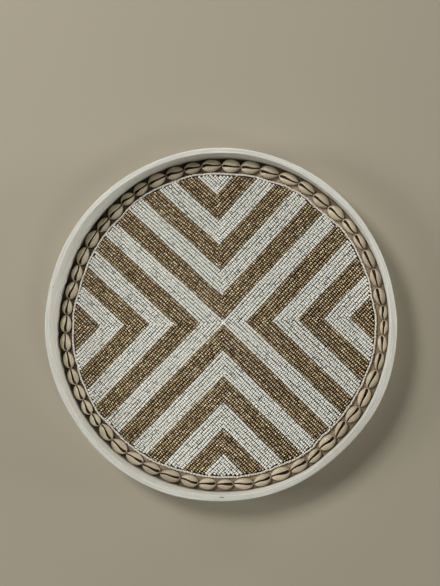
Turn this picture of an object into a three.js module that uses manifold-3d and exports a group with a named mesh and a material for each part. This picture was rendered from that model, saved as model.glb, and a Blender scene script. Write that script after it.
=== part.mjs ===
// A round, shallow wooden tray. A bent-wood hoop stands round a base board, and a cloth-covered panel lies on
// the board. Cowrie shells are glued in a ring round the panel's edge, and rows of glass seed beads fill the
// middle with mitred chevron stripes, inside a single string of beads that follows the shells.
//
// Sizes are in millimetres. +Z is up, the tray lies flat, and the origin is the centre of its underside.
// Angles round the tray are in degrees clockwise from +Y, as seen from above.

import * as THREE from 'three';
import { mergeVertices } from 'three/addons/utils/BufferGeometryUtils.js';
import Module from 'manifold-3d';

const wasm = await Module();
wasm.setup();

// Overall sizes
const overallDiameter = 350;
const overallHeight = 36;

// Rim hoop
const hoopThickness = 7;
const lipRadius = 2.6;
const footChamfer = 0.8;
const roundSegments = 96;
const lipArcSteps = 3;

// Base board and backing panel
const boardThickness = 8;
const panelThickness = 3;
const panelEdgeChamfer = 0.5;

// Clearances between neighbours
const fitGap = 0.3;
const shellGap = 0.3;

// Edges shorter than this are merged away where solids have been joined or cut.
const finestEdge = 0.003;

// Cowrie shells, laid end to end and clockwise. Each row is one shell as it was laid by hand: its room along
// the ring, its width, its gap to the wall, and how far its clockwise end stands out from the ring's line.
const firstShellStart = -4.5;
const shellPlaces = [
	[20.9, 13.3, 0.8, 0.5],
	[19.5, 13.9, 1.1, 0],
	[19.7, 13.7, 0.6, 1.5],
	[20.2, 14.3, 0.6, 0.9],
	[21, 12.7, 0.7, 0.5],
	[19, 12.3, 0.7, -0.3],
	[19.4, 14, 1.4, 0.5],
	[19.4, 13.3, 1.1, 1.2],
	[18.6, 11.4, 0.4, 0.8],
	[17.6, 11.3, 0.4, 0.2],
	[20.3, 11.8, 0.4, 0.5],
	[18.9, 11.5, 0.4, 0],
	[18.1, 12.8, 0.4, 1.1],
	[14.1, 9.2, 0.4, -0.1],
	[15, 8.8, 0.4, -0.4],
	[16.6, 9.7, 0.5, 1.3],
	[17.8, 10, 0.4, 0.2],
	[19.2, 12.1, 0.9, -1.2],
	[20.3, 12.8, 0.8, 0.7],
	[19.4, 13, 1.6, -0.7],
	[18.6, 11.9, 2.6, 1.9],
	[19.6, 13.5, 2.2, -0.3],
	[16.7, 11.8, 0.9, 1.6],
	[19.4, 12.3, 0.4, 0.7],
	[20.1, 13.3, 0.5, -0.5],
	[18.3, 12.2, 0.6, 1.4],
	[19.7, 12.4, 0.6, -1.2],
	[17.3, 11.3, 1.8, 0.1],
	[18.2, 11.8, 1.5, 1.3],
	[18.7, 12.6, 1.4, -0.5],
	[21.4, 13.4, 0.5, 1.3],
	[19.6, 12, 0.6, 0.8],
	[19.6, 12.6, 0.5, 1],
	[19.9, 12.9, 0.4, 0],
	[19.4, 13, 1.4, -1.3],
	[14.2, 11, 1.5, -0.7],
	[16.4, 11.9, 1, -0.4],
	[17.2, 12, 1.3, 0],
	[17.6, 12, 1.3, 0.1],
	[18.1, 12.3, 1.3, 0],
	[18.7, 12.4, 1.3, 0],
	[18.8, 12.6, 2.5, -0.2],
	[16.2, 11.3, 3.5, 0.4],
	[19.4, 12.5, 4.8, -1.3],
	[18.1, 12.2, 5.1, 1.2],
	[20.2, 13.2, 3.6, 0.9],
	[20.1, 13.6, 3.1, 0.7],
	[18, 11.8, 4.7, 0.5],
	[19.2, 13.9, 3.4, 0.8],
	[16.8, 12.8, 2.2, 0.1],
	[17.2, 12.6, 1.5, 1.2],
	[20.1, 13.6, 0.9, 0.7],
	[19.2, 13.2, 1.1, 0.3],
	[18.3, 11.9, 1.3, 0.3],
];
const shellHeightShare = 0.5;
const heightScatter = 0.3;
const shellStations = [-0.88, -0.55, 0, 0.55, 0.88];
const shellFullness = 2.3;

// Bordering string of small beads. It follows the shells, but comes no nearer to the wall than its standoff.
const stringDiameter = 2.2;
const stringStandoff = 12.7;
const stringSink = 0.5;

// Bead rows
const rowPitch = 3.03;
const beadHeight = 2.9;
const rowValleyHeight = 1.7;
const matThickness = 0.5;
const matSink = 0.25;
const rowsPerStripe = 6;
const stripeGap = 0.3;
const mitreOverlap = 0.1;
const patternCentre = new THREE.Vector2(3.7, 1);

// The rows are laid by hand, so those of each quarter turn a little from its true diagonal, by these degrees,
// and lie a little closer or wider than the pitch, by these factors.
const quarterTurns = [-0.4, 0.3, -1.6, -1.3];
const quarterStretches = [1, 0.985, 0.995, 1.02];

// Sizes worked out from those above
const outerRadius = overallDiameter / 2;
const innerRadius = outerRadius - hoopThickness;
const bedHeight = boardThickness + panelThickness;
const matTop = bedHeight + matThickness;
const stringRadius = stringDiameter / 2;

// Finishes
const paintedWood = new THREE.MeshStandardMaterial({ color: 0xcbc9bd, roughness: 0.7, metalness: 0 });
const plainWood = new THREE.MeshStandardMaterial({ color: 0x9b7c56, roughness: 0.75, metalness: 0 });
const brownCloth = new THREE.MeshStandardMaterial({ color: 0x8a7152, roughness: 0.95, metalness: 0 });
const shellSurface = new THREE.MeshStandardMaterial({ color: 0xbcab90, roughness: 0.4, metalness: 0 });
const whiteGlass = new THREE.MeshStandardMaterial({ color: 0xd8d6ca, roughness: 0.3, metalness: 0 });
const bronzeGlass = new THREE.MeshStandardMaterial({ color: 0x7d6440, roughness: 0.25, metalness: 0.3 });

// The point at a radius and a clockwise angle.
function aroundTray(radius, clockwiseDegrees) {
	const angle = THREE.MathUtils.degToRad(clockwiseDegrees);
	return new THREE.Vector2(radius * Math.sin(angle), radius * Math.cos(angle));
}

// A fixed scatter between -1 and 1 for each shell.
function scatter(index) {
	const wave = Math.sin((index + 1) * 12.9898) * 43758.5453;
	return 2 * (wave - Math.floor(wave)) - 1;
}

// Solids for joining and cutting
function toSolid(geometry) {
	const bare = geometry.clone();
	bare.deleteAttribute('normal');
	bare.deleteAttribute('uv');
	const merged = mergeVertices(bare);
	return new wasm.Manifold(new wasm.Mesh({
		numProp: 3,
		vertProperties: Float32Array.from(merged.attributes.position.array),
		triVerts: Uint32Array.from(merged.index.array),
	}));
}

function toGeometry(solid) {
	const { vertProperties, triVerts } = solid.simplify(finestEdge).getMesh();
	const geometry = new THREE.BufferGeometry();
	geometry.setAttribute('position', new THREE.BufferAttribute(vertProperties, 3));
	geometry.setIndex(new THREE.BufferAttribute(triVerts, 1));
	geometry.computeVertexNormals();
	return geometry;
}

function joinAll(solids) {
	return solids.reduce((whole, solid) => whole.add(solid));
}

// A closed profile of radius and height, turned about the Z axis.
function turned(profile) {
	const points = profile.map(([radius, height]) => new THREE.Vector2(radius, height));
	return new THREE.LatheGeometry(points, roundSegments).rotateX(Math.PI / 2);
}

// A flat plate with the given outline, between two heights.
function plate(outline, bottom, top) {
	const geometry = new THREE.ExtrudeGeometry(new THREE.Shape(outline), {
		depth: top - bottom,
		bevelEnabled: false,
	});
	return geometry.translate(0, 0, bottom);
}

// A skin over loops of points, each loop joined to the next. Poles close the two ends. Without poles the last
// loop joins the first. The faces point out when step along a loop x step to the next loop points out.
function skinOver(loops, poles) {
	const size = loops[0].length;
	const points = loops.flat();
	const faces = [];
	const strips = poles ? loops.length - 1 : loops.length;
	for (let loop = 0; loop < strips; loop += 1) {
		const here = loop * size;
		const next = ((loop + 1) % loops.length) * size;
		for (let i = 0; i < size; i += 1) {
			const j = (i + 1) % size;
			faces.push(here + i, here + j, next + i);
			faces.push(here + j, next + j, next + i);
		}
	}
	if (poles) {
		const start = points.length;
		const last = (loops.length - 1) * size;
		points.push(...poles);
		for (let i = 0; i < size; i += 1) {
			const j = (i + 1) % size;
			faces.push(start, j, i);
			faces.push(start + 1, last + i, last + j);
		}
	}
	const geometry = new THREE.BufferGeometry().setFromPoints(points);
	geometry.setIndex(faces);
	geometry.computeVertexNormals();
	return geometry;
}

// Rim hoop: a thin wall with a chamfered foot and a rounded lip.
function hoopGeometry() {
	const profile = [
		[innerRadius, 0],
		[outerRadius - footChamfer, 0],
		[outerRadius, footChamfer],
	];
	const arcs = [
		{ centre: outerRadius - lipRadius, from: 0 },
		{ centre: innerRadius + lipRadius, from: Math.PI / 2 },
	];
	for (const { centre, from } of arcs) {
		for (let step = 0; step <= lipArcSteps; step += 1) {
			const angle = from + (step / lipArcSteps) * (Math.PI / 2);
			profile.push([
				centre + lipRadius * Math.cos(angle),
				overallHeight - lipRadius + lipRadius * Math.sin(angle),
			]);
		}
	}
	profile.push([innerRadius, 0]);
	return turned(profile);
}

// Base board: a plain disc inside the hoop, flush with its foot.
function boardGeometry() {
	const radius = innerRadius - fitGap;
	return turned([[0, 0], [radius, 0], [radius, boardThickness], [0, boardThickness]]);
}

// Backing panel: a thin disc on the board, its cloth wrapped over a softened edge.
function panelGeometry() {
	const radius = innerRadius - fitGap;
	return turned([
		[0, boardThickness],
		[radius, boardThickness],
		[radius, bedHeight - panelEdgeChamfer],
		[radius - panelEdgeChamfer, bedHeight],
		[0, bedHeight],
	]);
}

// A shell's width at a station along it, as a share of its full width. Stations are in half lengths.
function shellTaper(station) {
	return Math.sqrt(1 - Math.abs(station) ** shellFullness);
}

// The point of a turned shell that is furthest in from the ring's line, and how far clockwise of the shell's
// middle it lies.
function furthestIn(width, length, turn) {
	const points = shellStations.map((station) => ({
		reach: (shellTaper(station) * width * Math.cos(turn) - station * length * Math.sin(turn)) / 2,
		along: (station * length) / 2,
	}));
	return points.reduce((best, point) => (point.reach > best.reach ? point : best));
}

// The size and place of every shell. They fill the ring in proportion to the rooms they take.
function layShells() {
	const wholeRoom = shellPlaces.reduce((sum, [room]) => sum + room, 0);
	let start = firstShellStart;
	return shellPlaces.map(([room, width, gap, out], index) => {
		const span = (360 * room) / wholeRoom;
		const chord = THREE.MathUtils.degToRad(span) * (innerRadius - gap - width / 2) - shellGap;
		const length = Math.hypot(chord, 2 * out);
		const turn = Math.atan2(2 * out, chord);
		const { reach, along } = furthestIn(width, length, turn);
		const middle = start + span / 2;
		const radius = innerRadius - gap - reach;
		start += span;
		return {
			middle,
			end: start,
			radius,
			turn,
			length,
			width,
			height: width * shellHeightShare + heightScatter * scatter(index),
			inside: radius - reach,
			insideAngle: middle + THREE.MathUtils.radToDeg(along / radius),
		};
	});
}

// Cowrie shell: an oval dome cut flat underneath, with two lips and a slit between them. Its length runs along
// Y. The section is given in half widths and heights.
function shellGeometry({ length, width, height }) {
	const section = [
		[-1, 0],
		[-0.9, 0.52],
		[-0.5, 0.95],
		[-0.12, 0.92],
		[0, 0.45],
		[0.12, 0.92],
		[0.5, 0.95],
		[0.9, 0.52],
		[1, 0],
	];
	const endRise = 0.45;
	const poleHeight = 0.25;
	const loops = shellStations.map((station) => {
		const taper = shellTaper(station);
		const rise = THREE.MathUtils.lerp(endRise, 1, taper);
		return section.map(([across, up]) => new THREE.Vector3(
			(across * taper * width) / 2,
			(station * length) / 2,
			up * rise * height,
		));
	});
	const poles = [-1, 1].map((end) => new THREE.Vector3(0, (end * length) / 2, poleHeight * height));
	return skinOver(loops, poles);
}

// The path of the bordering string: it keeps its gap to the inner side of each shell and its standoff from the
// wall, and passes halfway between the two where they meet. Each station is an angle and a radius.
function layString(shells) {
	const touching = shells.map(({ inside }) => Math.min(
		inside - fitGap - stringRadius,
		innerRadius - stringStandoff,
	));
	return shells.flatMap(({ insideAngle, end }, index) => [
		{ angle: insideAngle, radius: touching[index] },
		{ angle: end, radius: (touching[index] + touching[(index + 1) % shells.length]) / 2 },
	]);
}

// The outline that lies a given distance outside the string's path.
function outlineBeside(stations, distance) {
	return stations.map(({ angle, radius }) => aroundTray(radius + distance, angle));
}

// The bordering string, as one arched tube that closes on itself and sinks a little into the mat.
function stringGeometry(stations) {
	const section = [
		[1, -0.2],
		[1, 0],
		[0.8, 0.7],
		[0, 1],
		[-0.8, 0.7],
		[-1, 0],
		[-1, -0.2],
	];
	const loops = stations.map(({ angle, radius }) => section.map(([across, up]) => {
		const { x, y } = aroundTray(radius + across * stringRadius, angle);
		return new THREE.Vector3(x, y, matTop + up * stringDiameter);
	}));
	return skinOver(loops);
}

// The place of a quarter in a list with one value for each.
function ofQuarter(list, quarter) {
	return list[((quarter % 4) + 4) % 4];
}

function pitchOf(quarter) {
	return rowPitch * ofQuarter(quarterStretches, quarter);
}

// The direction of a quarter's rows, in degrees counterclockwise from +X.
function rowDirection(quarter) {
	return 45 + 90 * quarter + ofQuarter(quarterTurns, quarter);
}

function directionVector(degrees) {
	const angle = THREE.MathUtils.degToRad(degrees);
	return new THREE.Vector3(Math.cos(angle), Math.sin(angle), 0);
}

// The direction across a quarter's rows, in which they count up: towards the quarter's Y side.
function acrossRows(quarter) {
	return directionVector(rowDirection(quarter) + (quarter % 2 === 0 ? 90 : -90));
}

// The mitre line between a quarter and the next, where each row of one meets the same row of the other.
function mitreDirection(quarter) {
	const here = acrossRows(quarter).divideScalar(pitchOf(quarter));
	const next = acrossRows(quarter + 1).divideScalar(pitchOf(quarter + 1));
	const apart = here.sub(next);
	const line = new THREE.Vector3(-apart.y, apart.x, 0).normalize();
	const outwards = directionVector(rowDirection(quarter));
	return line.dot(outwards) < 0 ? line.negate() : line;
}

// The stripes across a quarter, white and bronze in turn. The middle row of the pattern is row 0, and a bronze
// stripe begins with row 1.
function layStripes(fieldRadius, pitch) {
	const eachSide = Math.ceil(fieldRadius / (rowsPerStripe * pitch));
	const stripes = [];
	for (let k = -eachSide; k <= eachSide; k += 1) {
		stripes.push({ firstRow: 1 + k * rowsPerStripe, white: k % 2 !== 0 });
	}
	return stripes;
}

// One stripe's section: a ridge for each bead row, with the stripe's sides drawn in by half the gap.
function stripeShape(firstRow, pitch, bottom) {
	const start = (firstRow - 0.5) * pitch;
	const end = start + rowsPerStripe * pitch;
	const points = [new THREE.Vector2(start + stripeGap / 2, bottom)];
	points.push(new THREE.Vector2(start + stripeGap / 2, matTop + rowValleyHeight));
	for (let row = 0; row < rowsPerStripe; row += 1) {
		const middle = start + (row + 0.5) * pitch;
		points.push(new THREE.Vector2(middle, matTop + beadHeight));
		if (row < rowsPerStripe - 1) {
			points.push(new THREE.Vector2(middle + pitch / 2, matTop + rowValleyHeight));
		}
	}
	points.push(new THREE.Vector2(end - stripeGap / 2, matTop + rowValleyHeight));
	points.push(new THREE.Vector2(end - stripeGap / 2, bottom));
	return new THREE.Shape(points);
}

// The wedge of one quarter, between the mitre lines that it shares with its neighbours. It passes each line by
// the overlap, so that the two legs of a chevron grow together.
function quarterWedge(quarter, reach) {
	const before = mitreDirection(quarter + 3);
	const after = mitreDirection(quarter);
	const middle = directionVector(rowDirection(quarter));
	const tip = middle.clone().multiplyScalar(-mitreOverlap * Math.SQRT2);
	const corners = [
		tip,
		before.multiplyScalar(reach).add(tip),
		middle.multiplyScalar(reach * Math.SQRT2),
		after.multiplyScalar(reach).add(tip),
	];
	const outline = corners.map(({ x, y }) => new THREE.Vector2(x, y).add(patternCentre));
	return toSolid(plate(outline, 0, overallHeight));
}

// All the stripes of one colour, cut to an outline.
function stripesOf(white, outline, bottom, reach) {
	const field = toSolid(plate(outline, 0, overallHeight));
	const legs = [];
	for (let quarter = 0; quarter < 4; quarter += 1) {
		const pitch = pitchOf(quarter);
		const across = acrossRows(quarter);
		const up = new THREE.Vector3(0, 0, 1);
		const along = across.clone().cross(up);
		const place = new THREE.Matrix4().makeBasis(across, up, along);
		place.setPosition(patternCentre.x, patternCentre.y, 0);
		const wedge = quarterWedge(quarter, reach).intersect(field);
		const stripes = layStripes(reach, pitch).filter((stripe) => stripe.white === white);
		for (const { firstRow } of stripes) {
			const bar = new THREE.ExtrudeGeometry(stripeShape(firstRow, pitch, bottom), {
				depth: 2 * reach,
				bevelEnabled: false,
			});
			bar.translate(0, 0, -reach);
			bar.applyMatrix4(place);
			const leg = toSolid(bar).intersect(wedge);
			if (!leg.isEmpty()) legs.push(leg);
		}
	}
	return joinAll(legs);
}

// White beadwork: the bordering string with every white stripe grown into it, cut level with the mat's top.
function whiteBeadwork(stations) {
	const string = toSolid(stringGeometry(stations));
	const outline = outlineBeside(stations, stringSink - stringRadius);
	const stripes = stripesOf(true, outline, matTop - matSink, innerRadius);
	return toGeometry(string.add(stripes).trimByPlane([0, 0, 1], matTop));
}

// Bronze beadwork: the thin sewn mat that all the beads lie on, with every bronze stripe standing on it.
function bronzeBeadwork(stations) {
	const mat = toSolid(plate(outlineBeside(stations, stringRadius), bedHeight, matTop));
	const outline = outlineBeside(stations, -stringRadius - stripeGap);
	const stripes = stripesOf(false, outline, matTop - matSink, innerRadius);
	return toGeometry(mat.add(stripes));
}

// Assembly
const tray = new THREE.Group();

function addPiece(name, geometry, material) {
	const piece = new THREE.Mesh(geometry, material);
	piece.name = name;
	tray.add(piece);
	return piece;
}

const shells = layShells();
const stringStations = layString(shells);

addPiece('rim_hoop', hoopGeometry(), paintedWood);
addPiece('base_board', boardGeometry(), plainWood);
addPiece('backing_panel', panelGeometry(), brownCloth);
addPiece('bronze_beadwork', bronzeBeadwork(stringStations), bronzeGlass);
addPiece('white_beadwork', whiteBeadwork(stringStations), whiteGlass);

shells.forEach((shell, index) => {
	const number = String(index + 1).padStart(2, '0');
	const piece = addPiece(`cowrie_shell_${number}`, shellGeometry(shell), shellSurface);
	const { x, y } = aroundTray(shell.radius, shell.middle);
	piece.position.set(x, y, bedHeight);
	piece.rotation.z = shell.turn - THREE.MathUtils.degToRad(shell.middle + 90);
});

export default tray;
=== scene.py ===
# A shallow round wooden tray, seen from above. A whitewashed bent-wood hoop stands round a cloth-covered
# panel, a ring of cowrie shells lies against its wall, and rows of seed beads fill the middle with mitred
# chevron stripes.
#
# Lengths are in metres and +Z is up. Angles round the tray are in degrees clockwise from +Y, seen from
# above.

import math

import bpy
import numpy as np
from mathutils import Matrix, Vector


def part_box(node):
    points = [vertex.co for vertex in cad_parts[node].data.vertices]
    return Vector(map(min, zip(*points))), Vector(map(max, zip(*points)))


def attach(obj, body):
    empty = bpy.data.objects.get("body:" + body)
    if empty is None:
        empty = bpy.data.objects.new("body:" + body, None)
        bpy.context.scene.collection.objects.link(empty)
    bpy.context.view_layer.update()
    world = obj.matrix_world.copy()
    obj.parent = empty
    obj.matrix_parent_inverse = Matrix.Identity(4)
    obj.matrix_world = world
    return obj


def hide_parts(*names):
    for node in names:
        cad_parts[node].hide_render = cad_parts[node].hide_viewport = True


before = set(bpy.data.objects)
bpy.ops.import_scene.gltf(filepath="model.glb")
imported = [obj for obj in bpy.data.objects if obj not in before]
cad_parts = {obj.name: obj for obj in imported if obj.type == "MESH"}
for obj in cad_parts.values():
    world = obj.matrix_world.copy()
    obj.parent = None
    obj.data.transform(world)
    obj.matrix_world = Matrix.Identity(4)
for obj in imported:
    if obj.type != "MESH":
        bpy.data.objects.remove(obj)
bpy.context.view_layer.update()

MM = 0.001

# Camera: its place, its aim and its roll follow from the rim's outline, the wall and the stripes' edges in
# the photograph. The lens and the sensor are in millimetres.
CAMERA_PLACE = Vector((120.8, -17.0, 967.6)) * MM
CAMERA_AIM = Vector((4.4, 29.8, 36.0)) * MM
CAMERA_ROLL = math.radians(-2.27)
CAMERA_LENS = 58.67
CAMERA_SENSOR = 36.0

# Hoop
FOOT_ROUNDING = 0.8 * MM
INNER_FOOT_ROUNDING = 0.3 * MM
OUTER_LIP_ROUNDING = 1.3 * MM
INNER_LIP_ROUNDING = 0.8 * MM
HOOP_STEPS = 720
SECTION_STEPS = 9
HOOP_UNEVENNESS = 0.15 * MM

# The wall's own line starts this high above the bed, and is reached this much further up
WALL_LINE_START = 0.1 * MM
WALL_LINE_RISE = 0.6 * MM

# Streaks of the paint: the width of one, and the radius of the hoop as counted in streaks along it
STREAK_WIDTH = 0.9 * MM
HOOP_IN_STREAKS = 3.5

# How far the bent hoop stands in from a true circle, in mm at some angles: its outer side, its lip's inner
# edge, and its inner side just above the bed
OUTSIDE_IN = [(0, 0.6), (35, 0.9), (60, 1.1), (82, 1.1), (95, 0.2), (115, -0.5), (140, 1.8), (160, 1.0),
              (180, 1.4), (202, 0.3), (225, 0.8), (240, 1.6), (255, 0.8), (268, 0.2), (285, 0.7),
              (300, 0.6), (335, 1.1)]
LIP_IN = [(0, -0.7), (10, -1.1), (24, -0.5), (40, 0.5), (58, -1.0), (98, -1.0), (118, 0.2), (140, 1.0),
          (152, -0.2), (185, 0.0), (203, -0.8), (228, -0.2), (245, -0.5), (262, -1.7), (278, -1.5),
          (300, -0.7), (325, -0.3)]
WALL_FOOT_IN = [(32, 0.0), (40, 0.5), (48, 0.0), (122, 0.0), (140, 1.2), (151, 0.0), (266, 0.0), (278, 1.5),
                (290, 3.3), (300, 2.7), (315, 2.1), (335, 0.4), (345, 0.0)]

# Chips in the lip's outer edge: the angle, the width in degrees and the depth in mm
LIP_CHIPS = [(339.4, 0.7, 0.6), (322.6, 0.9, 0.5), (3.0, 0.5, 0.5), (61.0, 0.8, 0.4), (231.0, 0.6, 0.4)]

# How much painted shade darkens the paint, from 0 to 1, at some angles round the hoop
PAINT_SHADE = [(0, 0.0), (90, 0.0), (105, 0.1), (120, 0.3), (138, 0.35), (152, 0.2), (172, 0.0), (190, 0.0),
              (215, 0.16), (240, 0.22), (265, 0.14), (295, 0.08), (330, 0.06)]

# Dark marks in the paint: the place in mm, the size in mm and how far drawn out along X
PAINT_MARKS = [((-162.4, 38.6, 19.5), 1.0, 1), ((-164.7, 43.6, 36.0), 0.9, 1),
               ((-1.7, -169.6, 36.0), 0.9, 4)]

# The plain surroundings, which the floor fades into between two distances from the tray. They light the
# tray with only a share of the strength that they are seen with.
SURROUNDINGS = (162, 155, 136)
SURROUNDING_LIGHT = 0.02
FADE_START = 0.5
FADE_END = 2.0

# How wide the far lamps look
FAR_LAMP_SPREAD = math.radians(17)

# The plan direction towards the side of the tray where the painted shade is darkest
LEFTWARDS = (-0.9, 0.43)

# Bead rows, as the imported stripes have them: each quarter's rows turn from its diagonal by some degrees,
# and lie closer or wider than the pitch by a factor
ROW_PITCH = 3.03 * MM
ROWS_PER_STRIPE = 6
PATTERN_CENTRE = np.array([3.7, 1.0]) * MM
QUARTER_TURNS = [-0.4, 0.3, -1.6, -1.3]
QUARTER_STRETCHES = [1.0, 0.985, 0.995, 1.02]
MAT_THICKNESS = 0.5 * MM

# Beads in the rows: the largest diameter of each colour, the pitch and the gap along a row, and the short
# ones' share and length. A row sways in a long and a short wave, each with its reach and the length in
# which it turns by a radian, and every bead lies a little beside it.
WHITE_DIAMETER = 3.08 * MM
BRONZE_DIAMETER = 2.75 * MM
BEAD_PITCH = 2.1 * MM
BEAD_GAP = 0.14 * MM
BEAD_SIDES = 8
SHORT_BEAD_SHARE = 0.06
SHORT_BEAD_LENGTH = 0.6
ROW_END_GAP = 0.45 * MM
LONG_SWAY = 0.24 * MM
LONG_SWAY_RADIAN = 31 * MM
SHORT_SWAY = 0.13 * MM
SHORT_SWAY_RADIAN = 9 * MM
BEAD_SCATTER = 0.08 * MM

# Bordering string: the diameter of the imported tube, and its beads, which are a little thicker and wander
STRING_DIAMETER = 2.2 * MM
STRING_BEAD_DIAMETER = 2.5 * MM
STRING_PITCH = 1.55 * MM
STRING_BEAD_GAP = 0.05 * MM
STRING_WANDER = 0.25 * MM
STRING_SCATTER = 0.13 * MM

# Shells: how many, the steps and ribs along each, and how far the thin dark foot, which paints the contact
# shadow round each shell, stands out towards the tray's middle, at most and at least towards the wall, and
# stays away from the wall
SHELL_COUNT = 54
SHELL_STATIONS = 57
SHELL_RIBS = 12
INNER_FOOT = 0.45 * MM
OUTER_FOOT = 0.9 * MM
LEAST_OUTER_FOOT = 0.2 * MM
FOOT_CLEARANCE = 0.1 * MM

bed_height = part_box("backing_panel")[1].z
mat_top = bed_height + MAT_THICKNESS


# Meshes

def make_piece(name, points, faces, material, replaced, values=None):
    """A closed, smooth piece from an array of points and a list of arrays of face corners, one array for
    each number of corners. If the faces enclose a negative volume, they are all turned to point out. values
    holds named arrays with a number or a vector for each point, which the materials read."""
    volume = 0.0
    for corners in faces:
        first = points[corners[:, 0]]
        for k in range(1, corners.shape[1] - 1):
            second = points[corners[:, k]]
            third = points[corners[:, k + 1]]
            volume += np.einsum("ij,ij->", first, np.cross(second, third))
    if volume < 0:
        faces = [corners[:, ::-1] for corners in faces]
    mesh = bpy.data.meshes.new(name)
    corner_list = np.concatenate([corners.ravel() for corners in faces])
    sizes = np.concatenate([np.full(len(corners), corners.shape[1]) for corners in faces])
    mesh.vertices.add(len(points))
    mesh.vertices.foreach_set("co", points.astype(np.float32).ravel())
    mesh.loops.add(len(corner_list))
    mesh.loops.foreach_set("vertex_index", corner_list.astype(np.int32))
    mesh.polygons.add(len(sizes))
    mesh.polygons.foreach_set("loop_start", (np.cumsum(sizes) - sizes).astype(np.int32))
    mesh.polygons.foreach_set("use_smooth", np.ones(len(sizes), dtype=bool))
    mesh.update(calc_edges=True)
    for key, value in (values or {}).items():
        kind = "FLOAT" if value.ndim == 1 else "FLOAT_VECTOR"
        field = "value" if value.ndim == 1 else "vector"
        layer = mesh.attributes.new(key, kind, "POINT")
        layer.data.foreach_set(field, value.astype(np.float32).ravel())
    mesh.materials.append(material)
    piece = bpy.data.objects.new(name, mesh)
    bpy.context.scene.collection.objects.link(piece)
    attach(piece, "root")
    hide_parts(*replaced)


def ring_faces(rings, sides, closed):
    """The quads between rings of points that follow each other, each ring joined to itself. If closed, the
    last ring is joined to the first."""
    ring = np.arange(rings if closed else rings - 1)[:, None]
    side = np.arange(sides)[None, :]
    here = ring * sides
    following = ((ring + 1) % rings) * sides
    after = (side + 1) % sides
    return np.stack([here + side, here + after, following + after, following + side], -1).reshape(-1, 4)


def pole_faces(rings, sides, poles):
    """The triangles between the first ring and the first pole, and between the last ring and the last
    pole."""
    side = np.arange(sides)
    after = (side + 1) % sides
    last = (rings - 1) * sides
    start = np.stack([np.full(sides, poles), after, side], -1)
    end = np.stack([np.full(sides, poles + 1), last + side, last + after], -1)
    return np.concatenate([start, end])


def around_tray(radius, angle):
    """The plan point at a radius and an angle: radius times the sine and the cosine of the angle."""
    turn = np.radians(angle)
    return np.stack([radius * np.sin(turn), radius * np.cos(turn)], -1)


def node_points(node):
    """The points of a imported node."""
    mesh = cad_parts[node].data
    flat = np.empty(len(mesh.vertices) * 3)
    mesh.vertices.foreach_get("co", flat)
    return flat.reshape(-1, 3)


# Material tools

def colour(red, green, blue):
    """A colour written as a picture has it, from 0 to 255, as the linear values that the shaders take."""
    shares = np.array([red, green, blue]) / 255
    linear = np.where(shares <= 0.04045, shares / 12.92, ((shares + 0.055) / 1.055) ** 2.4)
    return (*linear.tolist(), 1.0)


def new_material(name):
    """A new material, with its node tree and its shader."""
    material = bpy.data.materials.new(name)
    material.use_nodes = True
    return material, material.node_tree, material.node_tree.nodes["Principled BSDF"]


def join(tree, value, socket):
    """Links a value to a node's socket."""
    tree.links.new(value, socket)


def add(tree, kind, inputs=None, **settings):
    """A shader node of a kind. Each input is a plain value, or another node's output to link from."""
    node = tree.nodes.new("ShaderNode" + kind)
    for key, value in settings.items():
        setattr(node, key, value)
    for key, value in (inputs or {}).items():
        if isinstance(value, bpy.types.NodeSocket):
            join(tree, value, node.inputs[key])
        else:
            node.inputs[key].default_value = value
    return node


def object_place(tree):
    """The place on the object, in metres."""
    return add(tree, "TexCoord").outputs["Object"]


def attribute(tree, name, field="Fac"):
    """A number or a vector that the mesh holds for each point."""
    return add(tree, "Attribute", attribute_name=name).outputs[field]


def calculate(tree, operation, first, second=0.0):
    """One arithmetic step on two numbers."""
    return add(tree, "Math", {0: first, 1: second}, operation=operation).outputs[0]


def noise(tree, place, size, detail=3.0, roughness=0.5, stretch=(1, 1, 1)):
    """Noise from 0 to 1 whose lumps are about that size, drawn out by the stretch along each axis."""
    scaled = add(tree, "Mapping", {"Vector": place, "Scale": [1 / (size * s) for s in stretch]})
    made = add(tree, "TexNoise", {
        "Vector": scaled.outputs[0],
        "Scale": 1.0,
        "Detail": detail,
        "Roughness": roughness,
    })
    return made.outputs["Fac"]


def stepped(tree, value, low, high, start=0.0, end=1.0):
    """The value taken smoothly from start to end as it goes from low to high."""
    made = add(tree, "MapRange", {
        "Value": value,
        "From Min": low,
        "From Max": high,
        "To Min": start,
        "To Max": end,
    }, interpolation_type="SMOOTHSTEP")
    return made.outputs["Result"]


def mixed(tree, share, first, second):
    """Two colours mixed by a share of the second."""
    made = add(tree, "Mix", data_type="RGBA")
    for socket, value in ((made.inputs[0], share), (made.inputs[6], first), (made.inputs[7], second)):
        if isinstance(value, bpy.types.NodeSocket):
            join(tree, value, socket)
        else:
            socket.default_value = value
    return made.outputs[2]


def relief(tree, shader, height, depth):
    """A bump on the shader, from a height between 0 and 1 and its depth in metres."""
    bump = add(tree, "Bump", {"Height": height, "Strength": 1.0, "Distance": depth})
    join(tree, bump.outputs[0], shader.inputs["Normal"])


# Materials

def paint_mark(tree, place, middle, size, drawn_out):
    """A share of 0.9 at a mark in the paint, fading to 0 at its ragged edge. The size is about its half
    width."""
    moved = add(tree, "VectorMath", {0: place, 1: tuple(-value * MM for value in middle)}).outputs[0]
    scaled = add(tree, "VectorMath", {0: moved, 1: (1 / drawn_out, 1, 1)}, operation="MULTIPLY").outputs[0]
    away = add(tree, "VectorMath", {0: scaled}, operation="LENGTH").outputs["Value"]
    torn = calculate(tree, "MULTIPLY", noise(tree, place, 0.8 * MM), 0.7 * MM)
    ragged = calculate(tree, "ADD", away, torn)
    return stepped(tree, ragged, 0.5 * size * MM, (size + 0.5) * MM, 0.9, 0.0)


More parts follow.
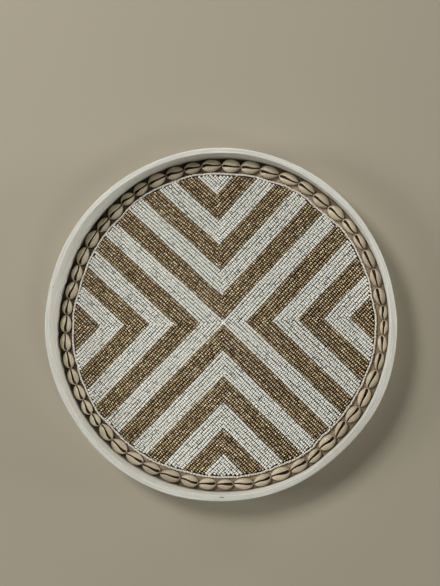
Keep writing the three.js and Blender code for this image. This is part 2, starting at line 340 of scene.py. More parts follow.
def whitewashed_wood():
    """Chalky off-white paint, thin over bent wood: pale streaks along the hoop with thin dark ones between
    them, soft stains and blotches, painted shade at some angles round the hoop, and a few dark marks."""
    material, tree, shader = new_material("whitewashed_wood")
    place = object_place(tree)
    grain = attribute(tree, "grain", "Vector")
    streaks = noise(tree, grain, 1.0, detail=4.0, roughness=0.6)
    hairlines = noise(tree, grain, 0.45, detail=3.0, roughness=0.7)
    stains = noise(tree, place, 45 * MM, detail=2.0)
    blotches = noise(tree, place, 5 * MM, detail=4.0, roughness=0.7)
    streaked = mixed(tree, stepped(tree, streaks, 0.36, 0.64), colour(198, 197, 184), colour(228, 227, 217))
    painted = mixed(tree, stepped(tree, stains, 0.35, 0.7, 0.0, 0.35), streaked, colour(206, 204, 191))
    lined = mixed(tree, stepped(tree, hairlines, 0.57, 0.68, 0.0, 0.5), painted, colour(150, 147, 133))
    blotched = mixed(tree, stepped(tree, blotches, 0.6, 0.75, 0.0, 0.3), lined, colour(160, 156, 141))
    # Painted shade: the paint is darkened by the share of shade that the hoop holds for each point's angle.
    shaded_and_marked = mixed(tree, attribute(tree, "wear"), blotched, colour(150, 147, 133))
    for middle, size, drawn_out in PAINT_MARKS:
        shaded_and_marked = mixed(tree, paint_mark(tree, place, middle, size, drawn_out), shaded_and_marked, colour(92, 88, 74))
    join(tree, shaded_and_marked, shader.inputs["Base Color"])
    join(tree, stepped(tree, streaks, 0.3, 0.7, 0.66, 0.82), shader.inputs["Roughness"])
    relief(tree, shader, streaks, 0.3 * MM)
    return material


def plain_wood():
    """Bare pale wood with its grain along X, for the underside."""
    material, tree, shader = new_material("plain_wood")
    place = object_place(tree)
    grain = noise(tree, place, 1.6 * MM, detail=5.0, roughness=0.65, stretch=(45, 1, 6))
    figure = noise(tree, place, 14 * MM, detail=2.0, stretch=(9, 1, 2))
    mellow = mixed(tree, stepped(tree, figure, 0.3, 0.7), colour(150, 120, 84), colour(178, 149, 110))
    wood = mixed(tree, stepped(tree, grain, 0.52, 0.72, 0.0, 0.7), mellow, colour(112, 84, 54))
    join(tree, wood, shader.inputs["Base Color"])
    shader.inputs["Roughness"].default_value = 0.72
    relief(tree, shader, grain, 0.15 * MM)
    return material


def woven_cloth(name, light, dark, thread, shade_colour=None):
    """Plain weave. Its height is the product of a wave along X and one along Y, with half a wave to a
    thread. If it has a shade colour, the cloth is darkened with it towards the left side as painted shade,
    and in the corner along the wall as painted shadow of the wall, there most on the left side."""
    material, tree, shader = new_material(name)
    place = object_place(tree)
    split = add(tree, "SeparateXYZ", {0: place})
    threads = []
    for axis in ("X", "Y"):
        phase = calculate(tree, "MULTIPLY", split.outputs[axis], math.pi / thread)
        threads.append(calculate(tree, "SINE", phase))
    weave = calculate(tree, "MULTIPLY", *threads)
    height = calculate(tree, "MULTIPLY_ADD", weave, 0.5)
    height.node.inputs[2].default_value = 0.5
    slubs = noise(tree, place, 3 * MM, detail=4.0, roughness=0.7)
    shade = calculate(tree, "MULTIPLY", height, slubs)
    cloth = mixed(tree, stepped(tree, shade, 0.05, 0.5), dark, light)
    # Painted shade towards the left side, and painted shadow of the wall in the corner along it.
    if shade_colour:
        leftwards = add(tree, "VectorMath", {0: place, 1: (*LEFTWARDS, 0.0)}, operation="DOT_PRODUCT")
        clouds = calculate(tree, "MULTIPLY", noise(tree, place, 12 * MM, detail=4.0), 30 * MM)
        reach = calculate(tree, "ADD", leftwards.outputs["Value"], clouds)
        cloth = mixed(tree, stepped(tree, reach, 20 * MM, 85 * MM, 0.0, 0.85), cloth, shade_colour)
        flat = add(tree, "VectorMath", {0: place, 1: (1.0, 1.0, 0.0)}, operation="MULTIPLY")
        radius = add(tree, "VectorMath", {0: flat.outputs[0]}, operation="LENGTH").outputs["Value"]
        strength = stepped(tree, leftwards.outputs["Value"], -100 * MM, 60 * MM, 0.45, 0.95)
        wall_shadow = calculate(tree, "MULTIPLY", stepped(tree, radius, 156 * MM, 163 * MM), strength)
        cloth = mixed(tree, wall_shadow, cloth, shade_colour)
    join(tree, cloth, shader.inputs["Base Color"])
    shader.inputs["Roughness"].default_value = 0.95
    shader.inputs["Sheen Weight"].default_value = 0.15
    shader.inputs["Sheen Roughness"].default_value = 0.6
    relief(tree, shader, height, 0.15 * MM)
    return material


def cowrie_shell():
    """Satin cowrie: cream beside the slit, tan towards the edge, with brown mottles and faint streaks across
    the lips. The inside of its slit is painted dark brown as shade, and the dark line round its foot is
    painted contact shadow. Each shell has its own tone and warmth."""
    material, tree, shader = new_material("cowrie_shell")
    place = object_place(tree)
    outward = attribute(tree, "outward")
    inside = attribute(tree, "inside")
    rib = attribute(tree, "rib")
    tone = attribute(tree, "tone")
    warmth = attribute(tree, "warmth")
    clouds = noise(tree, place, 5 * MM, detail=4.0, roughness=0.6)
    aged = calculate(tree, "ADD", calculate(tree, "MULTIPLY", outward, 0.5), clouds)
    skin = mixed(tree, stepped(tree, aged, 0.45, 1.0), colour(218, 205, 177), colour(190, 172, 141))
    cool = mixed(tree, warmth, colour(190, 186, 156), colour(212, 188, 160))
    tinted = mixed(tree, 0.35, skin, cool)
    mottles = noise(tree, place, 1.8 * MM, detail=4.0, roughness=0.75)
    mottled = mixed(tree, stepped(tree, mottles, 0.5, 0.75, 0.0, 0.4), tinted, colour(138, 118, 86))
    darker = mixed(tree, stepped(tree, tone, 0.0, 1.0, 0.0, 0.3), mottled, colour(128, 112, 88))
    ribbed = mixed(tree, stepped(tree, rib, 0.3, 1.0, 0.0, 0.22), darker, colour(96, 80, 58))
    # Painted contact shadow round the foot.
    foot_shaded = mixed(tree, attribute(tree, "foot"), ribbed, colour(34, 25, 14))
    # Painted shade inside the slit: the channel is darkened brown.
    shell = mixed(tree, stepped(tree, inside, 0.15, 0.6), foot_shaded, colour(46, 31, 18))
    join(tree, shell, shader.inputs["Base Color"])
    join(tree, stepped(tree, inside, 0.15, 0.6, 0.38, 0.9), shader.inputs["Roughness"])
    relief(tree, shader, noise(tree, place, 1.2 * MM, detail=3.0), 0.12 * MM)
    return material


def white_glass():
    """Opaque chalk-white glass beads, a little different from bead to bead, with painted shade down their
    sides and a painted highlight on their crowns.
    """
    material, tree, shader = new_material("white_glass")
    chalk = mixed(tree, attribute(tree, "tone"), colour(242, 241, 230), colour(253, 252, 243))
    # Painted shade down the sides, painted highlight on the crown.
    glass = mixed(tree, stepped(tree, attribute(tree, "crown"), 0.0, 0.5), colour(216, 214, 200), chalk)
    join(tree, glass, shader.inputs["Base Color"])
    shader.inputs["Roughness"].default_value = 0.3
    return material


def string_glass():
    """The bordering string's small beads, which are a warmer white than the rows, with painted shade down
    their sides and a painted highlight on their crowns.
    """
    material, tree, shader = new_material("string_glass")
    chalk = mixed(tree, attribute(tree, "tone"), colour(238, 231, 217), colour(250, 245, 233))
    # Painted shade down the sides, painted highlight on the crown.
    glass = mixed(tree, stepped(tree, attribute(tree, "crown"), 0.1, 0.6), colour(212, 204, 189), chalk)
    join(tree, glass, shader.inputs["Base Color"])
    shader.inputs["Roughness"].default_value = 0.32
    return material


def bronze_glass():
    """Lustred brown-gold glass beads: near-black down their sides as painted shade, and on their crowns a
    painted highlight, brown to pale gold by the bead's tone, and redder in patches."""
    material, tree, shader = new_material("bronze_glass")
    tone = attribute(tree, "tone")
    brown = mixed(tree, stepped(tree, tone, 0.0, 0.4), colour(159, 136, 95), colour(201, 177, 132))
    gold = mixed(tree, stepped(tree, tone, 0.4, 1.0), brown, colour(239, 222, 184))
    patches = noise(tree, object_place(tree), 7 * MM, detail=3.0)
    redder = mixed(tree, stepped(tree, patches, 0.4, 0.65, 0.0, 0.45), gold, colour(150, 112, 78))
    # Painted shade down the sides in near-black, painted highlight on the crown.
    glass = mixed(tree, stepped(tree, attribute(tree, "crown"), 0.16, 0.6), colour(18, 12, 5), redder)
    join(tree, glass, shader.inputs["Base Color"])
    shader.inputs["Metallic"].default_value = 0.25
    shader.inputs["Roughness"].default_value = 0.26
    return material


def as_background(tree):
    """1 where the camera looks at the surroundings, straight or in gloss or glass, and 0 where they light
    the tray."""
    light = add(tree, "LightPath").outputs
    mirrored = calculate(tree, "MAXIMUM", light["Is Glossy Ray"], light["Is Transmission Ray"])
    return calculate(tree, "MAXIMUM", light["Is Camera Ray"], mirrored)


def pale_floor():
    """A plain pale floor, which fades into the surroundings far from the tray."""
    material, tree, shader = new_material("pale_floor")
    place = object_place(tree)
    cast = noise(tree, place, 0.4, detail=2.0)
    plain = mixed(tree, cast, colour(162, 154, 134), colour(169, 161, 141))
    join(tree, plain, shader.inputs["Base Color"])
    shader.inputs["Roughness"].default_value = 0.9
    away = add(tree, "VectorMath", {0: place}, operation="LENGTH").outputs["Value"]
    share = calculate(tree, "MULTIPLY", stepped(tree, away, FADE_START, FADE_END), as_background(tree))
    far = add(tree, "Emission", {"Color": colour(*SURROUNDINGS), "Strength": 1.0})
    blend = add(tree, "MixShader", {0: share, 1: shader.outputs[0], 2: far.outputs[0]})
    join(tree, blend.outputs[0], tree.nodes["Material Output"].inputs["Surface"])
    return material


# Hoop

def rounded_section(corners):
    """A closed section through corners of (radius, height, rounding), in order. Each corner is a quarter
    round of that rounding, between the directions of its two sides, and evenly spaced points lie on the
    straight between two corners."""
    points = []
    count = len(corners)
    for i, (x, y, rounding) in enumerate(corners):
        corner = np.array([x, y])
        before = np.array(corners[i - 1][:2]) - corner
        after = np.array(corners[(i + 1) % count][:2]) - corner
        before /= np.linalg.norm(before)
        after /= np.linalg.norm(after)
        turn = np.linspace(0, math.pi / 2, SECTION_STEPS)[:, None]
        centre = corner + rounding * (before + after)
        points.append(centre - rounding * (after * np.cos(turn) + before * np.sin(turn)))
    loop = []
    for i, arc in enumerate(points):
        start = points[(i + 1) % count][0]
        share = np.linspace(0, 1, SECTION_STEPS + 2)[1:-1, None]
        loop.append(arc)
        loop.append(arc[-1] + share * (start - arc[-1]))
    return np.concatenate(loop)


def waves(angle, amounts):
    """A smooth wandering line round the tray, from -1 to 1: a sum of sine waves, each with its own number
    of turns, share and phase."""
    total = sum(share for turns, share, phase in amounts)
    return sum(share * np.sin(turns * angle + phase) for turns, share, phase in amounts) / total


def line_through(angle, places):
    """A smooth line round the tray through values at some angles in degrees, in growing order. From one
    place to the next it follows half a cosine wave."""
    at, values = np.array(places).T
    turn = np.degrees(angle) % 360
    after = np.searchsorted(at, turn, side="right")
    start = (after - 1) % len(at)
    end = after % len(at)
    share = ((turn - at[start]) % 360) / ((at[end] - at[start]) % 360)
    return values[start] + (values[end] - values[start]) * (0.5 - 0.5 * np.cos(math.pi * share))


def make_hoop(material):
    """The hoop: its section carried round the tray. The section's last corner lies on the straight inner
    side and only sets close points where the wall's line starts. The outer side, the lip and the inner
    side's foot follow their own lines in and out, with a little unevenness, because the wood is bent and
    painted by hand. A chip is a dent in the outer edge of the lip, as wide as a bell curve round its
    angle."""
    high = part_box("rim_hoop")[1]
    outer = high.x
    inner = np.hypot(*node_points("rim_hoop")[:, :2].T).min()
    section = rounded_section([
        (inner, 0.0, INNER_FOOT_ROUNDING),
        (outer, 0.0, FOOT_ROUNDING),
        (outer, high.z, OUTER_LIP_ROUNDING),
        (inner, high.z, INNER_LIP_ROUNDING),
        (inner, bed_height + WALL_LINE_START + WALL_LINE_RISE / 2, WALL_LINE_RISE / 2),
    ])
    angle = np.linspace(0, 2 * math.pi, HOOP_STEPS, endpoint=False)[:, None]
    radius = section[:, 0][None, :]
    height = section[:, 1][None, :]
    inwards = (outer - radius) / (outer - inner)
    raised = height / high.z
    above_bed = np.clip((height - bed_height) / (high.z - bed_height), 0, 1)
    leaning = above_bed ** 2 * (3 - 2 * above_bed)
    started = np.clip((height - bed_height - WALL_LINE_START) / WALL_LINE_RISE, 0, 1)
    outside_line = waves(angle, [(3, 1.0, 0.4), (11, 0.7, 4.0), (23, 0.5, 1.0), (41, 0.4, 2.0)])
    inside_line = waves(angle, [(4, 1.0, 1.7), (17, 0.8, 0.2), (31, 0.7, 5.0), (53, 0.5, 1.1)])
    lip_line = waves(angle, [(2, 1.0, 0.9), (7, 0.6, 2.6), (19, 0.4, 3.3)])
    outside_in = MM * line_through(angle, OUTSIDE_IN) * raised
    wall_in = line_through(angle, WALL_FOOT_IN) * (1 - leaning) + line_through(angle, LIP_IN) * leaning
    inside_in = MM * wall_in * started
    uneven = HOOP_UNEVENNESS * raised * ((1 - inwards) * (0.5 + 0.5 * outside_line) + inwards * inside_line)
    edge = np.clip(1 - 2.5 * inwards, 0, 1) * np.clip(10 * raised - 9, 0, 1)
    dent = sum(
        depth * MM * np.exp(-(((np.degrees(angle) - at + 180) % 360 - 180) / width) ** 2)
        for at, width, depth in LIP_CHIPS
    )
    radius = radius - (1 - inwards) * outside_in - inwards * inside_in - uneven - edge * dent
    height = height - HOOP_UNEVENNESS * raised ** 4 * (1 + lip_line) - edge * dent
    points = np.stack([radius * np.sin(angle), radius * np.cos(angle), height], -1)
    along = np.linalg.norm(np.diff(section, axis=0, append=section[:1]), axis=1)
    distance = np.concatenate([[0], np.cumsum(along)[:-1]])[None, :]
    whole = np.broadcast_to
    size = points.shape[:2]
    grain = np.stack([
        whole(HOOP_IN_STREAKS * np.sin(angle), size),
        whole(HOOP_IN_STREAKS * np.cos(angle), size),
        whole(distance / STREAK_WIDTH, size),
    ], -1)
    faces = [ring_faces(HOOP_STEPS, len(section), closed=True)]
    # Each point also holds the share of painted shade at its angle round the hoop.
    make_piece(
        "hoop", points.reshape(-1, 3), faces, material, ["rim_hoop"],
        {"grain": grain.reshape(-1, 3), "wear": whole(line_through(angle, PAINT_SHADE), size).ravel()},
    )


# Shells

def read_shell(node):
    """Where a packed shell lies. Its ends are its two points that are furthest apart in plan, and its
    length runs clockwise round the tray."""
    points = node_points(node)
    plan = points[:, :2]
    apart = np.linalg.norm(plan[:, None] - plan[None], axis=2)
    one, other = np.unravel_index(apart.argmax(), apart.shape)
    middle = (plan[one] + plan[other]) / 2
    clockwise = np.array([middle[1], -middle[0]])
    along = plan[one] - plan[other]
    length = np.linalg.norm(along)
    along = along / length * np.sign(along @ clockwise)
    inward = np.array([along[1], -along[0]])
    across = (plan - middle) @ inward
    return {
        "middle": middle,
        "along": along,
        "inward": inward,
        "length": length,
        "width": np.ptp(across),
        "height": np.ptp(points[:, 2]),
        "reach": np.hypot(plan[:, 0], plan[:, 1]).max(),
    }


def shell_surface(length, width, height, outer_foot, chance):
    """One cowrie, slit side up. Station u runs from -1 at the blunt end of its slit to 1. The half width is
    an ellipse of u drawn out to pointed ends. Crest, belly and base are the heights of its top, of its
    widest place and of its underside, which meet at the ends. From lip to belly each side is a quarter
    superellipse, and from belly down a quarter ellipse that curves in underneath and meets a thin dark
    foot, painted contact shadow, which stands out round the shell. The slit follows a shallow S, wide
    towards its blunt end, and drops into a channel, painted dark as shade, between ribbed lips. Each
    station's loop goes from one base edge over the top to the other, and back underneath."""
    u = np.sin(np.linspace(-math.pi / 2, math.pi / 2, SHELL_STATIONS + 2)[1:-1])[:, None]
    egg = 1 - chance.uniform(0.02, 0.12) * u
    half_width = width / 2 * (1 - u ** 2) ** chance.uniform(0.5, 0.6) * egg / egg.max()
    base = 0.25 * height * np.abs(u) ** 4
    crest = base + (height - base) * (1 - np.abs(u) ** 2.8) ** 0.6
    belly = base + 0.42 * (crest - base)

    bow = chance.uniform(-0.02, 0.12)
    bend = chance.uniform(0.03, 0.12)
    slit_line = width / 2 * (bow * (1 - u ** 2) + bend * np.sin(math.pi * u) + 0.04)
    blunt = 1 / (1 + np.exp((u + chance.uniform(0.0, 0.4)) * 5))
    narrow = chance.uniform(0.54, 0.74) * MM
    wide = chance.uniform(1.15, 1.5) * MM
    closing = np.clip((u + 0.94) / 0.14, 0, 1) ** 0.5 * np.clip((1 - u) / 0.08, 0, 1) ** 0.5
    slit = np.maximum((narrow + (wide - narrow) * blunt) * closing, 0.02 * MM)
    ribs = 0.5 + 0.5 * np.cos(math.pi * SHELL_RIBS * u + chance.uniform(0, 6))
    depth = 0.5 * (crest - base) * closing * (1 - np.abs(u) ** 6)

    lip_reach = 0.5 * MM
    lip_rounding = 0.14 * MM
    rib_depth = 0.12 * MM
    rib_reach = 3.5 * MM
    full = np.minimum(1, (1 - u ** 2) * 4)
    foot_height = 0.35 * MM * full
    lip_columns = 4
    over_columns = 10
    under_columns = 3
    foot_columns = 3
    round_over = np.linspace(0, math.pi / 2, over_columns + 1)[None, 1:]
    round_under = np.linspace(0, math.pi / 2, under_columns + 2)[None, 1:-1]
    ones = np.ones_like(u)
    on_lip = np.zeros((1, lip_columns))
    on_top = np.zeros((1, lip_columns + over_columns))
    below = np.ones((1, under_columns + foot_columns))
    # Painted shade: the slit's channel columns are darkened.
    dark = np.concatenate([[[1, 0.85, 0.15, 0]], 0 * round_over, 0 * below], axis=1)
    # Painted contact shadow: the foot's columns underneath are darkened.
    foot_shade_mask = np.concatenate([on_top, [[0.3, 0.7, 0.9, 1, 1, 1]]], axis=1)
    sides = []
    for side in (-1, 1):
        room = half_width - side * slit_line
        fit = np.minimum(1, 0.6 * room / (slit + lip_reach))
        lip = fit * (slit + lip_reach)
        beyond = np.sin(round_over) ** 0.9
        distance = np.concatenate([
            0.6 * fit * slit,
            fit * slit,
            fit * (slit + lip_rounding),
            lip,
            lip + (room - lip) * beyond,
            room * (1 - 0.2 * (1 - np.cos(round_under))),
            room + full * (outer_foot if side < 0 else INNER_FOOT) * np.array([[0.0, 0.8, 1.0]]),
        ], axis=1)
        rise = np.concatenate([
            crest - depth,
            crest - 0.6 * depth,
            crest - lip_rounding * closing,
            crest,
            belly + (crest - belly) * np.cos(round_over) ** 0.85,
            belly - (belly - base - foot_height) * np.sin(round_under),
            base + foot_height * np.array([[1.0, 0.7, 0.0]]),
        ], axis=1)
        reach = np.clip((distance - fit * slit) / rib_reach, 0, 1)
        ripple = rib_depth * ribs * (1 - reach) * closing
        ripple[:, :2] = 0
        sides.append({
            "place": slit_line + side * distance,
            "rise": np.maximum(rise - ripple, base),
            "inside": closing * dark,
            "outward": ones * np.concatenate([on_lip, beyond, below], axis=1),
            "foot": ones * foot_shade_mask,
        })

    left, right = sides
    right_edge = right["place"][:, -1:]
    left_edge = left["place"][:, -1:]
    under = right_edge + (left_edge - right_edge) * np.array([[0.25, 0.5, 0.75]])
    level = np.ones((1, 3))

    def loop_of(key, middle, underneath):
        return np.concatenate([left[key][:, ::-1], middle, right[key], underneath], axis=1)

    place = loop_of("place", slit_line, under)
    rise = loop_of("rise", np.minimum(left["rise"][:, :1], right["rise"][:, :1]), base * level)
    inside = loop_of("inside", closing, 0 * under)
    outward = loop_of("outward", 0 * ones, ones * level)
    foot = loop_of("foot", 0 * ones, ones * level)
    stations, loop = place.shape
    ring = np.stack([place, np.broadcast_to(u * length / 2, place.shape), rise], -1).reshape(-1, 3)
    poles = np.array([[0, -length / 2, 0.25 * height], [0, length / 2, 0.25 * height]])
    return {
        "points": np.concatenate([ring, poles]),
        "faces": [ring_faces(stations, loop, closed=False), pole_faces(stations, loop, stations * loop)],
        "inside": np.concatenate([inside.ravel(), [0, 0]]),
        "outward": np.concatenate([outward.ravel(), [1, 1]]),
        "foot": np.concatenate([foot.ravel(), [1, 1]]),
        "rib": np.concatenate([np.broadcast_to(ribs, place.shape).ravel(), [0, 0]]),
    }


def make_shells(material):
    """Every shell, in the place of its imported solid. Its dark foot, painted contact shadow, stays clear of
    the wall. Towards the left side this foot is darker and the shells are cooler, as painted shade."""
    wall_radius = np.hypot(*node_points("rim_hoop")[:, :2].T).min()
    for number in range(1, SHELL_COUNT + 1):
        node = f"cowrie_shell_{number:02d}"
        place = read_shell(node)
        chance = np.random.default_rng(number)
        outer_foot = np.clip(wall_radius - FOOT_CLEARANCE - place["reach"], LEAST_OUTER_FOOT, OUTER_FOOT)
        surface = shell_surface(place["length"], place["width"], place["height"], outer_foot, chance)
        leftwards = place["middle"] @ LEFTWARDS
        left_side = np.interp(leftwards, [-60 * MM, 70 * MM], [0, 1])
        local = surface["points"]
        plan = place["middle"] + local[:, :1] * place["inward"] + local[:, 1:2] * place["along"]
        points = np.concatenate([plan, local[:, 2:] + bed_height], axis=1)
        one = np.ones(len(points))
        make_piece(f"cowrie_{number:02d}", points, surface["faces"], material, [node], {
            "inside": surface["inside"],
            "outward": surface["outward"],
            # Painted contact shadow at the foot, darker towards the shaded left side.
            "foot": surface["foot"] * (0.55 + 0.45 * left_side),
            "rib": surface["rib"],
            "tone": one * chance.uniform(0, 1),
            # Random warmth, cut towards the left side so that the shells there look cooler, as painted
            # shade.
            "warmth": one * chance.uniform(0, 1) * (1 - 0.7 * left_side),
        })


# Beads

def bead_shape():
    """One bead on its thread, 1 across and 1 along: rings round the thread whose radius swells in the
    middle, closed by a flat face at each end. Its crown value is the height above the thread times the
    nearness to the bead's middle, from 0 to 1, and the materials use it to paint a highlight on the crown
    and shade down the sides."""
    stations = np.array([-0.5, -0.36, 0.0, 0.36, 0.5])
    radii = np.array([0.26, 0.42, 0.5, 0.42, 0.26])
    turn = (np.arange(BEAD_SIDES) + 0.5) * 2 * math.pi / BEAD_SIDES
    rings = np.stack([
        np.broadcast_to(stations[:, None], (len(stations), BEAD_SIDES)),
        radii[:, None] * np.cos(turn),
        radii[:, None] * np.sin(turn),
    ], -1)
    crown = np.clip(np.sin(turn), 0, 1)[None, :] * (1 - (2 * np.abs(stations[:, None])) ** 2)
    first = np.arange(BEAD_SIDES)
    ends = np.stack([first[::-1], first + (len(stations) - 1) * BEAD_SIDES])
    return rings.reshape(-1, 3), [ring_faces(len(stations), BEAD_SIDES, closed=False), ends], crown.ravel()


def make_beads(name, beads, material, replaced):
    """One piece of many beads. Each bead's shape is scaled by its length and diameter, turned so that its
    thread follows its direction, and put at its middle."""
    shape, shape_faces, crown = bead_shape()
    along = beads["direction"] / np.linalg.norm(beads["direction"], axis=1, keepdims=True)
    beside = np.cross([0, 0, 1], along)
    beside /= np.linalg.norm(beside, axis=1, keepdims=True)
    above = np.cross(along, beside)
    length = beads["length"][:, None, None]
    across = beads["diameter"][:, None, None]
    points = (
        beads["middle"][:, None]
        + shape[None, :, :1] * length * along[:, None]
        + shape[None, :, 1:2] * across * beside[:, None]
        + shape[None, :, 2:] * across * above[:, None]
    )
    starts = np.arange(len(along))[:, None, None] * len(shape)
    faces = [(corners[None] + starts).reshape(-1, corners.shape[1]) for corners in shape_faces]
    make_piece(name, points.reshape(-1, 3), faces, material, replaced, {
        "tone": np.repeat(beads["tone"], len(shape)),
        "crown": np.tile(crown, len(along)),
    })


def string_path():
    """The bordering string's radius at each angle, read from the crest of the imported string."""
    points = node_points("white_beadwork")
    crest = points[np.abs(points[:, 2] - mat_top - STRING_DIAMETER) < 0.01 * MM]
    angles = np.degrees(np.arctan2(crest[:, 0], crest[:, 1])) % 360
    radii = np.hypot(crest[:, 0], crest[:, 1])
    order = np.argsort(angles)

    def radius(angle):
        return np.interp(angle, angles[order], radii[order], period=360)

    return radius


def make_string(path, material):
    """The bordering string: small beads, a pitch apart along the path, which wander to its sides in a sum
    of waves."""
    angle = np.linspace(0, 360, 3601)
    line = around_tray(path(angle), angle)
    travelled = np.concatenate([[0], np.cumsum(np.linalg.norm(np.diff(line, axis=0), axis=1))])
    count = round(travelled[-1] / STRING_PITCH)
    chance = np.random.default_rng(101)
    at = (np.arange(count) + chance.uniform(-0.08, 0.08, count)) * travelled[-1] / count
    here = np.interp(at, travelled, angle)
    wander = STRING_WANDER * waves(np.radians(here), [(29, 1.0, 0.5), (47, 0.8, 2.0), (83, 0.6, 4.4)])
    place = around_tray(path(here) + wander + chance.normal(0, STRING_SCATTER, count), here)
    ahead = around_tray(path(here + 0.4), here + 0.4) - around_tray(path(here), here)
    lift = np.full(count, mat_top + STRING_BEAD_DIAMETER / 2)
    tilt = chance.normal(0, 0.06, count) * np.linalg.norm(ahead, axis=1)
    make_beads("bead_string", {
        "middle": np.column_stack([place, lift]),
        "direction": np.column_stack([ahead, tilt]),
        "length": np.full(count, travelled[-1] / count - STRING_BEAD_GAP),
        "diameter": STRING_BEAD_DIAMETER * chance.uniform(0.84, 1.0, count),
        "tone": chance.uniform(0, 1, count),
    }, material, ["white_beadwork"])


def row_direction(quarter):
    """The plan direction of a quarter's rows, which is near its diagonal."""
    turn = math.radians(45 + 90 * quarter + QUARTER_TURNS[quarter % 4])
    return np.array([math.cos(turn), math.sin(turn)])


def across_rows(quarter):
    """The plan direction across a quarter's rows, in which they count up: towards the quarter's Y side."""
    x, y = row_direction(quarter)
    return np.array([-y, x]) if quarter % 2 == 0 else np.array([y, -x])


def row_pitch(quarter):
    """The distance from row to row in a quarter."""
    return ROW_PITCH * QUARTER_STRETCHES[quarter % 4]


def mitre_direction(quarter):
    """The mitre line between a quarter and the next, where each row of one meets the same row of the other.
    Row numbers grow as across_rows / row_pitch, so the line is square to the difference of the two."""
    apart = across_rows(quarter) / row_pitch(quarter) - across_rows(quarter + 1) / row_pitch(quarter + 1)
    line = np.array([-apart[1], apart[0]]) / np.linalg.norm(apart)
    return line * np.sign(line @ row_direction(quarter))


def is_white(row):
    """Whether a row is white. Row 0 runs through the pattern's centre, rows 1 to 6 are bronze, and stripes
    of six rows follow in both directions, white and bronze in turn."""
    return (row - 1) // ROWS_PER_STRIPE % 2 == 1


def lay_rows(quarter, path):
    """Every bead of a quarter. Its rows lie a pitch apart, parallel to the quarter's direction. Each row
    begins at the mitre line that it meets, where the rows of the two quarters take turns to pass the
    corner, and ends short of the bordering string. A row sways in two waves, the long one with its stripe,
    and each bead has its own place, size, tilt and tone. A few beads are short and leave a dark gap."""
    chance = np.random.default_rng(200 + quarter)
    direction = row_direction(quarter)
    across = across_rows(quarter)
    between_rows = row_pitch(quarter)
    even = quarter % 2 == 0
    upper = mitre_direction(quarter if even else quarter - 1)
    lower = mitre_direction(quarter - 1 if even else quarter)
    reach = path(np.arange(360)).max()
    most = math.ceil(1.1 * reach / between_rows)
    rows = np.arange(-most, most + 1)[:, None]
    offset = rows * between_rows
    slopes = [abs((line @ direction) / (line @ across)) for line in (upper, lower)]
    mitre = np.abs(offset) * np.where(offset > 0, *slopes)
    passing = np.where(rows % 2 == (0 if even else 1), -0.5, 0.5) * between_rows
    start = mitre + passing + chance.uniform(-0.16, 0.12, rows.shape) * BEAD_PITCH
    count = math.ceil(1.2 * reach / BEAD_PITCH)
    pitch = BEAD_PITCH * chance.uniform(0.97, 1.04, rows.shape)
    step = np.arange(count)[None, :] + 0.5 + chance.normal(0, 0.05, (len(rows), count))
    along = start + step * pitch
    long_sway = LONG_SWAY * np.sin(along / LONG_SWAY_RADIAN + 0.35 * rows + quarter)
    short_sway = SHORT_SWAY * np.sin(along / SHORT_SWAY_RADIAN + chance.uniform(0, 6, rows.shape))
    beside = offset + (long_sway + short_sway) + chance.normal(0, BEAD_SCATTER, along.shape)
    plan = PATTERN_CENTRE + along[..., None] * direction + beside[..., None] * across
    angle = np.degrees(np.arctan2(plan[..., 0], plan[..., 1])) % 360
    room = path(angle) - STRING_DIAMETER / 2 - np.hypot(plan[..., 0], plan[..., 1])
    kept = room > ROW_END_GAP * chance.uniform(0.8, 1.6, rows.shape)
    size = along.shape
    white = np.broadcast_to(is_white(rows), size)
    diameter = np.where(white, WHITE_DIAMETER, BRONZE_DIAMETER) * chance.uniform(0.93, 1.0, size)
    lift = mat_top + diameter / 2 - 0.05 * MM * chance.uniform(0, 1, size)
    shortened = np.where(chance.uniform(0, 1, size) < SHORT_BEAD_SHARE, SHORT_BEAD_LENGTH, 1.0)
    turned = chance.normal(0, 0.06, size)[..., None]
    slope = chance.normal(0, 0.08, size)[..., None]
    beads = {
        "middle": np.concatenate([plan, lift[..., None]], -1),
        "direction": np.concatenate([direction + turned * across, slope], -1),
        "length": (pitch - BEAD_GAP) * chance.uniform(0.86, 1.04, size) * shortened,
        "diameter": diameter,
        "tone": chance.uniform(0, 1, size),
    }
    return [{key: value[kept & chosen] for key, value in beads.items()} for chosen in (white, ~white)]


def make_bead_field(path, white_material, bronze_material):
    """The bead rows, as one white and one bronze piece in each quarter."""
    for quarter, corner in enumerate(("right_top", "left_top", "left_bottom", "right_bottom")):
        white, bronze = lay_rows(quarter, path)
        make_beads(f"white_rows_{corner}", white, white_material, ["white_beadwork"])
        make_beads(f"bronze_rows_{corner}", bronze, bronze_material, ["bronze_beadwork"])


def make_mat(path, material):
    """The thin sewn mat under the beads: rings from the middle of its underside, out round its edge, to the
    middle of its top. Its edge lies under the bordering string. Its near-black cloth is painted shade that
    shows in the gaps between the beads."""
    angle = np.linspace(0, 360, 360, endpoint=False)
    edge = path(angle) + 0.5 * STRING_DIAMETER
    shares = [0.35, 0.7, 1.0, 1.0, 0.7, 0.35]
    heights = [bed_height] * 3 + [mat_top] * 3
    rings = [
        np.column_stack([around_tray(edge * share, angle), np.full(len(angle), height)])
        for share, height in zip(shares, heights)
    ]
    poles = np.array([[0, 0, bed_height], [0, 0, mat_top]])
    faces = [ring_faces(len(rings), len(angle), closed=False),
             pole_faces(len(rings), len(angle), len(rings) * len(angle))]
    make_piece(
        "bead_mat", np.concatenate([*rings, poles]), faces, material, ["bronze_beadwork"],
    )


# Board and panel

def finish_packed(node, finish):
    """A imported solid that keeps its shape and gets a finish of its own."""
    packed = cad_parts[node]
    packed.data.materials.clear()
    packed.data.materials.append(finish)


# Surroundings

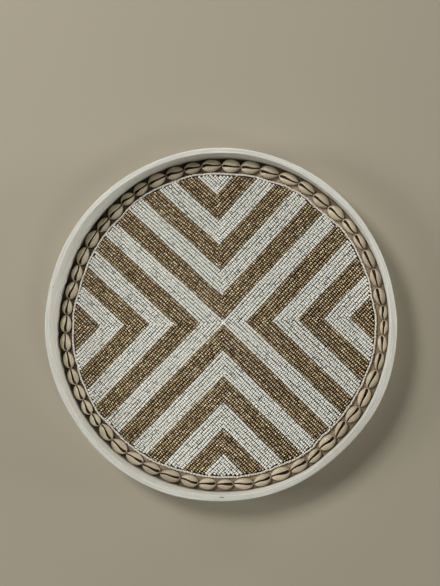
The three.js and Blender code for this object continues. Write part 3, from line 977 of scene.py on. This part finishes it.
def make_floor(material):
    """A wide floor just under the tray."""
    half = 9.0
    drop = -0.1 * MM
    mesh = bpy.data.meshes.new("floor")
    corners = [(-half, -half, drop), (half, -half, drop), (half, half, drop), (-half, half, drop)]
    mesh.from_pydata(corners, [], [(0, 1, 2, 3)])
    mesh.materials.append(material)
    floor = bpy.data.objects.new("floor", mesh)
    bpy.context.scene.collection.objects.link(floor)


def place_lamp(lamp, azimuth, elevation, distance):
    """Puts a lamp at a distance from the tray, where it faces the tray."""
    plan = around_tray(math.cos(math.radians(elevation)), azimuth)
    away = Vector((*plan, math.sin(math.radians(elevation))))
    holder = bpy.data.objects.new(lamp.name, lamp)
    holder.location = away * distance
    holder.rotation_euler = away.to_track_quat("Z", "Y").to_euler()
    bpy.context.scene.collection.objects.link(holder)


def add_lamp(name, azimuth, elevation, strength, size=0.6, distance=2.0):
    """A soft square lamp that faces the tray. A strength of 1 lights a surface that faces it as brightly as
    white."""
    lamp = bpy.data.lights.new(name, "AREA")
    lamp.shape = "SQUARE"
    lamp.size = size
    lamp.energy = strength * math.pi ** 2 * distance ** 2
    place_lamp(lamp, azimuth, elevation, distance)


def add_far_lamp(name, azimuth, elevation, strength):
    """A soft lamp that shines from so far away that it lights all of the floor alike, wherever it is put. A
    strength of 1 lights a surface that faces it as brightly as white."""
    lamp = bpy.data.lights.new(name, "SUN")
    lamp.energy = strength * math.pi
    lamp.angle = FAR_LAMP_SPREAD
    place_lamp(lamp, azimuth, elevation, 1.0)


def light_scene():
    """Soft light: the main lamp beyond the top left and a lower one to its left, a little fill from the
    bottom right, and low lamps that graze the tray from the right and the top and light the sides of its
    wall. The surroundings look pale, also in gloss and glass, and give hardly any light."""
    add_lamp("main_lamp", 318, 52, 0.56)
    add_lamp("left_lamp", 270, 26, 0.37, size=1.5, distance=5.0)
    add_lamp("bottom_right_lamp", 135, 42, 0.19, size=1.5, distance=5.0)
    add_far_lamp("low_right_lamp", 90, 8, 0.4)
    add_far_lamp("low_top_left_lamp", 315, 8, 0.24)
    add_far_lamp("low_top_right_lamp", 45, 8, 0.24)
    world = bpy.data.worlds.new("studio")
    world.use_nodes = True
    tree = world.node_tree
    background = tree.nodes["Background"]
    background.inputs["Color"].default_value = colour(*SURROUNDINGS)
    strength = stepped(tree, as_background(tree), 0.0, 1.0, SURROUNDING_LIGHT, 1.0)
    join(tree, strength, background.inputs["Strength"])
    bpy.context.scene.world = world


def place_camera():
    """The camera, rolled a little about the line it looks along."""
    forward = (CAMERA_AIM - CAMERA_PLACE).normalized()
    right = forward.cross(Vector((0, 1, 0))).normalized()
    up = right.cross(forward)
    rolled_right = math.cos(CAMERA_ROLL) * right + math.sin(CAMERA_ROLL) * up
    rolled_up = math.cos(CAMERA_ROLL) * up - math.sin(CAMERA_ROLL) * right
    turn = Matrix((rolled_right, rolled_up, -forward)).transposed()
    data = bpy.data.cameras.new("camera")
    data.lens = CAMERA_LENS
    data.sensor_width = CAMERA_SENSOR
    camera = bpy.data.objects.new("camera", data)
    camera.matrix_world = Matrix.Translation(CAMERA_PLACE) @ turn.to_4x4()
    bpy.context.scene.collection.objects.link(camera)
    bpy.context.scene.camera = camera


# The tray
place_camera()
light_scene()
make_floor(pale_floor())
bpy.context.scene.view_settings.view_transform = "Standard"

make_hoop(whitewashed_wood())
finish_packed("base_board", plain_wood())
# The tan cloth is darkened towards the left and along the wall with painted shade.
finish_packed("backing_panel", woven_cloth(
    "tan_cloth_and_painted_shade", colour(208, 186, 158), colour(146, 124, 98), 0.45 * MM, shade_colour=colour(45, 37, 19),
))
make_shells(cowrie_shell())
string_radius = string_path()
# The mat's near-black cloth is painted shade for the gaps between the beads.
make_mat(string_radius, woven_cloth("mat_cloth_painted_shade", colour(44, 36, 25), colour(20, 15, 9), 0.4 * MM))
make_string(string_radius, string_glass())
make_bead_field(string_radius, white_glass(), bronze_glass())
